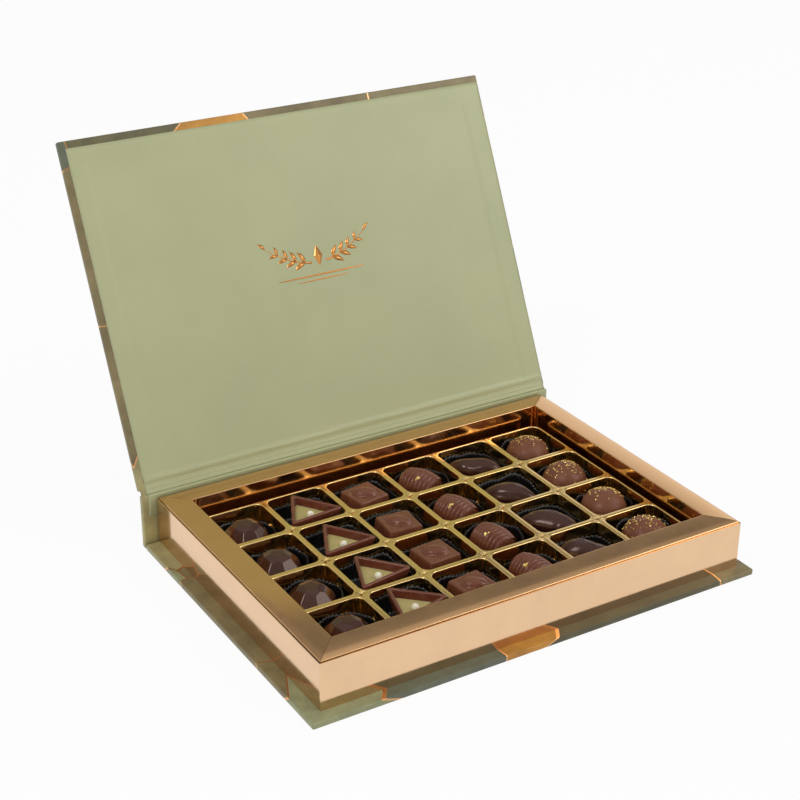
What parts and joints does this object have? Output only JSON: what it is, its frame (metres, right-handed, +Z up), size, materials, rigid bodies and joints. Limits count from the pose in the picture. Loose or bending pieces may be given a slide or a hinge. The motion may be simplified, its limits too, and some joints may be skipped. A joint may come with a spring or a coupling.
{
  "type": "chocolate box",
  "caption": "Book-style rigid chocolate box, its lined lid opened on a paper hinge, with mitred gold ledges and a lift-out tray of assorted pralines in paper cups.",
  "frame": {"origin": "middle of the case's footprint, on its underside", "axes": "+Z up, -Y to the open front, +Y to the hinge and the lid, +X to the right along the front"},
  "size_m": [0.2842, 0.2973, 0.2199],
  "materials": {
    "greyboard": "matte",
    "wrap_paper": "satin",
    "lining_paper": "satin",
    "mirror_card": "polished",
    "gold_card": "satin",
    "gold_sheet": "gloss",
    "black_paper": "satin",
    "dark_milk": "gloss",
    "milk": "satin",
    "dark": "gloss",
    "cream": "matte",
    "pearl": "gloss"
  },
  "bodies": {
    "case": {"base_board": "greyboard", "base_wrap": "wrap_paper", "spine_board": "greyboard", "spine_wrap": "wrap_paper", "spine_lining": "lining_paper", "hinge_lining": "lining_paper", "hinge_wrap": "wrap_paper", "box_shell": "mirror_card", "ledge_front": "gold_card", "ledge_back": "gold_card", "ledge_left": "gold_card", "ledge_right": "gold_card"},
    "lid": {"lid_board": "greyboard", "lid_wrap": "wrap_paper", "lid_lining": "lining_paper"},
    "tray": {"tray": "gold_sheet", "round_cups": "black_paper", "pressed_cups": "black_paper"},
    "faceted_dome_1_body": {"faceted_dome_1": "dark_milk"},
    "faceted_dome_2_body": {"faceted_dome_2": "dark_milk"},
    "faceted_dome_3_body": {"faceted_dome_3": "dark_milk"},
    "faceted_dome_4_body": {"faceted_dome_4": "dark_milk"},
    "triangle_praline_1_body": {"triangle_shell_1": "milk", "triangle_filling_1": "cream", "pearl_1": "pearl"},
    "triangle_praline_2_body": {"triangle_shell_2": "milk", "triangle_filling_2": "cream", "pearl_2": "pearl"},
    "triangle_praline_3_body": {"triangle_shell_3": "milk", "triangle_filling_3": "cream", "pearl_3": "pearl"},
    "triangle_praline_4_body": {"triangle_shell_4": "milk", "triangle_filling_4": "cream", "pearl_4": "pearl"},
    "square_praline_1_body": {"square_praline_1": "milk"},
    "square_praline_2_body": {"square_praline_2": "milk"},
    "square_praline_3_body": {"square_praline_3": "milk"},
    "square_praline_4_body": {"square_praline_4": "milk"},
    "ridged_barrel_1_body": {"ridged_barrel_1": "milk"},
    "ridged_barrel_2_body": {"ridged_barrel_2": "milk"},
    "ridged_barrel_3_body": {"ridged_barrel_3": "milk"},
    "ridged_barrel_4_body": {"ridged_barrel_4": "milk"},
    "long_almond_1_body": {"long_almond_1": "dark"},
    "long_almond_2_body": {"long_almond_2": "dark"},
    "long_almond_3_body": {"long_almond_3": "dark"},
    "long_almond_4_body": {"long_almond_4": "dark"},
    "round_truffle_1_body": {"round_truffle_1": "milk"},
    "round_truffle_2_body": {"round_truffle_2": "milk"},
    "round_truffle_3_body": {"round_truffle_3": "milk"},
    "round_truffle_4_body": {"round_truffle_4": "milk"}
  },
  "joints": [
    {"name": "lid_hinge", "type": "hinge", "parent": "case", "child": "lid", "pos_m": [0, 0.1018, 0.0343], "axis": [-1, 0, 0], "range_deg": [-115.6, 71.4], "deforming": ["hinge_lining", "hinge_wrap"]},
    {"name": "tray_lift", "type": "slide", "parent": "case", "child": "tray", "axis": [0, 0, 1], "range_m": [0, 0.04]},
    {"name": "faceted_dome_1_lift", "type": "slide", "parent": "tray", "child": "faceted_dome_1_body", "axis": [0, 0, 1], "range_m": [0, 0.03]},
    {"name": "faceted_dome_2_lift", "type": "slide", "parent": "tray", "child": "faceted_dome_2_body", "axis": [0, 0, 1], "range_m": [0, 0.03]},
    {"name": "faceted_dome_3_lift", "type": "slide", "parent": "tray", "child": "faceted_dome_3_body", "axis": [0, 0, 1], "range_m": [0, 0.03]},
    {"name": "faceted_dome_4_lift", "type": "slide", "parent": "tray", "child": "faceted_dome_4_body", "axis": [0, 0, 1], "range_m": [0, 0.03]},
    {"name": "triangle_praline_1_lift", "type": "slide", "parent": "tray", "child": "triangle_praline_1_body", "axis": [0, 0, 1], "range_m": [0, 0.03]},
    {"name": "triangle_praline_2_lift", "type": "slide", "parent": "tray", "child": "triangle_praline_2_body", "axis": [0, 0, 1], "range_m": [0, 0.03]},
    {"name": "triangle_praline_3_lift", "type": "slide", "parent": "tray", "child": "triangle_praline_3_body", "axis": [0, 0, 1], "range_m": [0, 0.03]},
    {"name": "triangle_praline_4_lift", "type": "slide", "parent": "tray", "child": "triangle_praline_4_body", "axis": [0, 0, 1], "range_m": [0, 0.03]},
    {"name": "square_praline_1_lift", "type": "slide", "parent": "tray", "child": "square_praline_1_body", "axis": [0, 0, 1], "range_m": [0, 0.03]},
    {"name": "square_praline_2_lift", "type": "slide", "parent": "tray", "child": "square_praline_2_body", "axis": [0, 0, 1], "range_m": [0, 0.03]},
    {"name": "square_praline_3_lift", "type": "slide", "parent": "tray", "child": "square_praline_3_body", "axis": [0, 0, 1], "range_m": [0, 0.03]},
    {"name": "square_praline_4_lift", "type": "slide", "parent": "tray", "child": "square_praline_4_body", "axis": [0, 0, 1], "range_m": [0, 0.03]},
    {"name": "ridged_barrel_1_lift", "type": "slide", "parent": "tray", "child": "ridged_barrel_1_body", "axis": [0, 0, 1], "range_m": [0, 0.03]},
    {"name": "ridged_barrel_2_lift", "type": "slide", "parent": "tray", "child": "ridged_barrel_2_body", "axis": [0, 0, 1], "range_m": [0, 0.03]},
    {"name": "ridged_barrel_3_lift", "type": "slide", "parent": "tray", "child": "ridged_barrel_3_body", "axis": [0, 0, 1], "range_m": [0, 0.03]},
    {"name": "ridged_barrel_4_lift", "type": "slide", "parent": "tray", "child": "ridged_barrel_4_body", "axis": [0, 0, 1], "range_m": [0, 0.03]},
    {"name": "long_almond_1_lift", "type": "slide", "parent": "tray", "child": "long_almond_1_body", "axis": [0, 0, 1], "range_m": [0, 0.03]},
    {"name": "long_almond_2_lift", "type": "slide", "parent": "tray", "child": "long_almond_2_body", "axis": [0, 0, 1], "range_m": [0, 0.03]},
    {"name": "long_almond_3_lift", "type": "slide", "parent": "tray", "child": "long_almond_3_body", "axis": [0, 0, 1], "range_m": [0, 0.03]},
    {"name": "long_almond_4_lift", "type": "slide", "parent": "tray", "child": "long_almond_4_body", "axis": [0, 0, 1], "range_m": [0, 0.03]},
    {"name": "round_truffle_1_lift", "type": "slide", "parent": "tray", "child": "round_truffle_1_body", "axis": [0, 0, 1], "range_m": [0, 0.03]},
    {"name": "round_truffle_2_lift", "type": "slide", "parent": "tray", "child": "round_truffle_2_body", "axis": [0, 0, 1], "range_m": [0, 0.03]},
    {"name": "round_truffle_3_lift", "type": "slide", "parent": "tray", "child": "round_truffle_3_body", "axis": [0, 0, 1], "range_m": [0, 0.03]},
    {"name": "round_truffle_4_lift", "type": "slide", "parent": "tray", "child": "round_truffle_4_body", "axis": [0, 0, 1], "range_m": [0, 0.03]}
  ]
}
